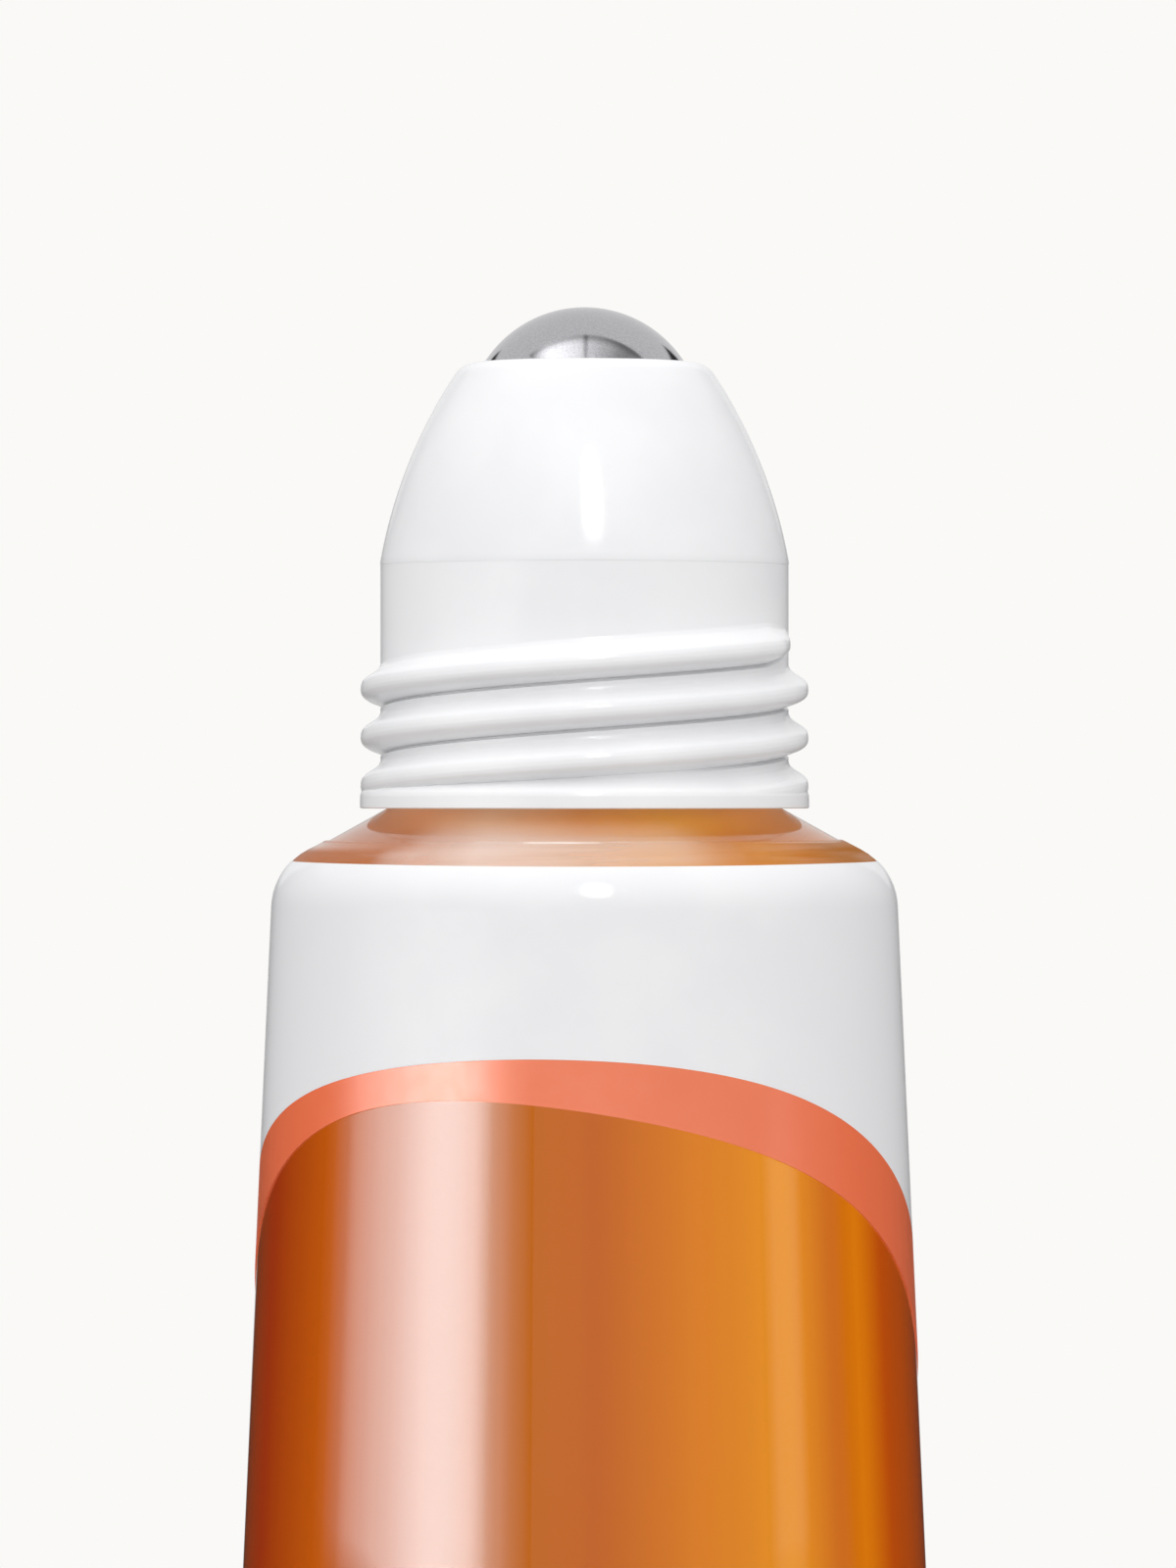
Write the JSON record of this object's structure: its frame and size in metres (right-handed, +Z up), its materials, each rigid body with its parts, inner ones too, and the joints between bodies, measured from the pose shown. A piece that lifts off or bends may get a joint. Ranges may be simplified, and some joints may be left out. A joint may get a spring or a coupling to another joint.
{
  "type": "cuticle oil bottle",
  "caption": "Roll-on cuticle oil bottle without its cap: clear flared bottle, white print, threaded collar and sprung steel ball in a domed housing.",
  "frame": {"origin": "middle of the underside, on the plane of the foot ring", "axes": "+Z up along the bottle's axis to the ball, -Y towards the front of the print, +X to its right"},
  "size_m": [0.0286, 0.0286, 0.0651],
  "materials": {
    "clear_plastic": "clear moulded plastic, polished",
    "orange_oil": "clear orange oil",
    "white_ink": "satin white print",
    "coral_ink": "glossy coral print",
    "white_plastic": "white moulded plastic, semi-gloss",
    "natural_plastic": "uncoloured moulded plastic",
    "polished_steel": "polished stainless steel",
    "spring_wire": "drawn stainless wire"
  },
  "bodies": {
    "bottle": {"bottle_body": "clear_plastic", "oil_fill": "orange_oil", "white_print": "white_ink", "coral_stripe": "coral_ink", "threaded_collar": "white_plastic", "sealing_washer": "natural_plastic", "roller_dome": "white_plastic", "flow_plate": "natural_plastic", "seat_spring": "spring_wire"},
    "seat": {"ball_seat": "natural_plastic"},
    "ball": {"roller_ball": "polished_steel"}
  },
  "joints": [
    {"name": "ball_press", "type": "slide", "parent": "bottle", "child": "seat", "axis": [0, 0, -1], "range_m": [0, 0.0005], "stiffness_N_per_m": 150, "springref_m": -0.002, "deforming": ["seat_spring"]},
    {"name": "ball_roll", "type": "hinge", "parent": "seat", "child": "ball", "pos_m": [0, 0, 0.06037], "axis": [1, 0, 0], "continuous": true}
  ]
}
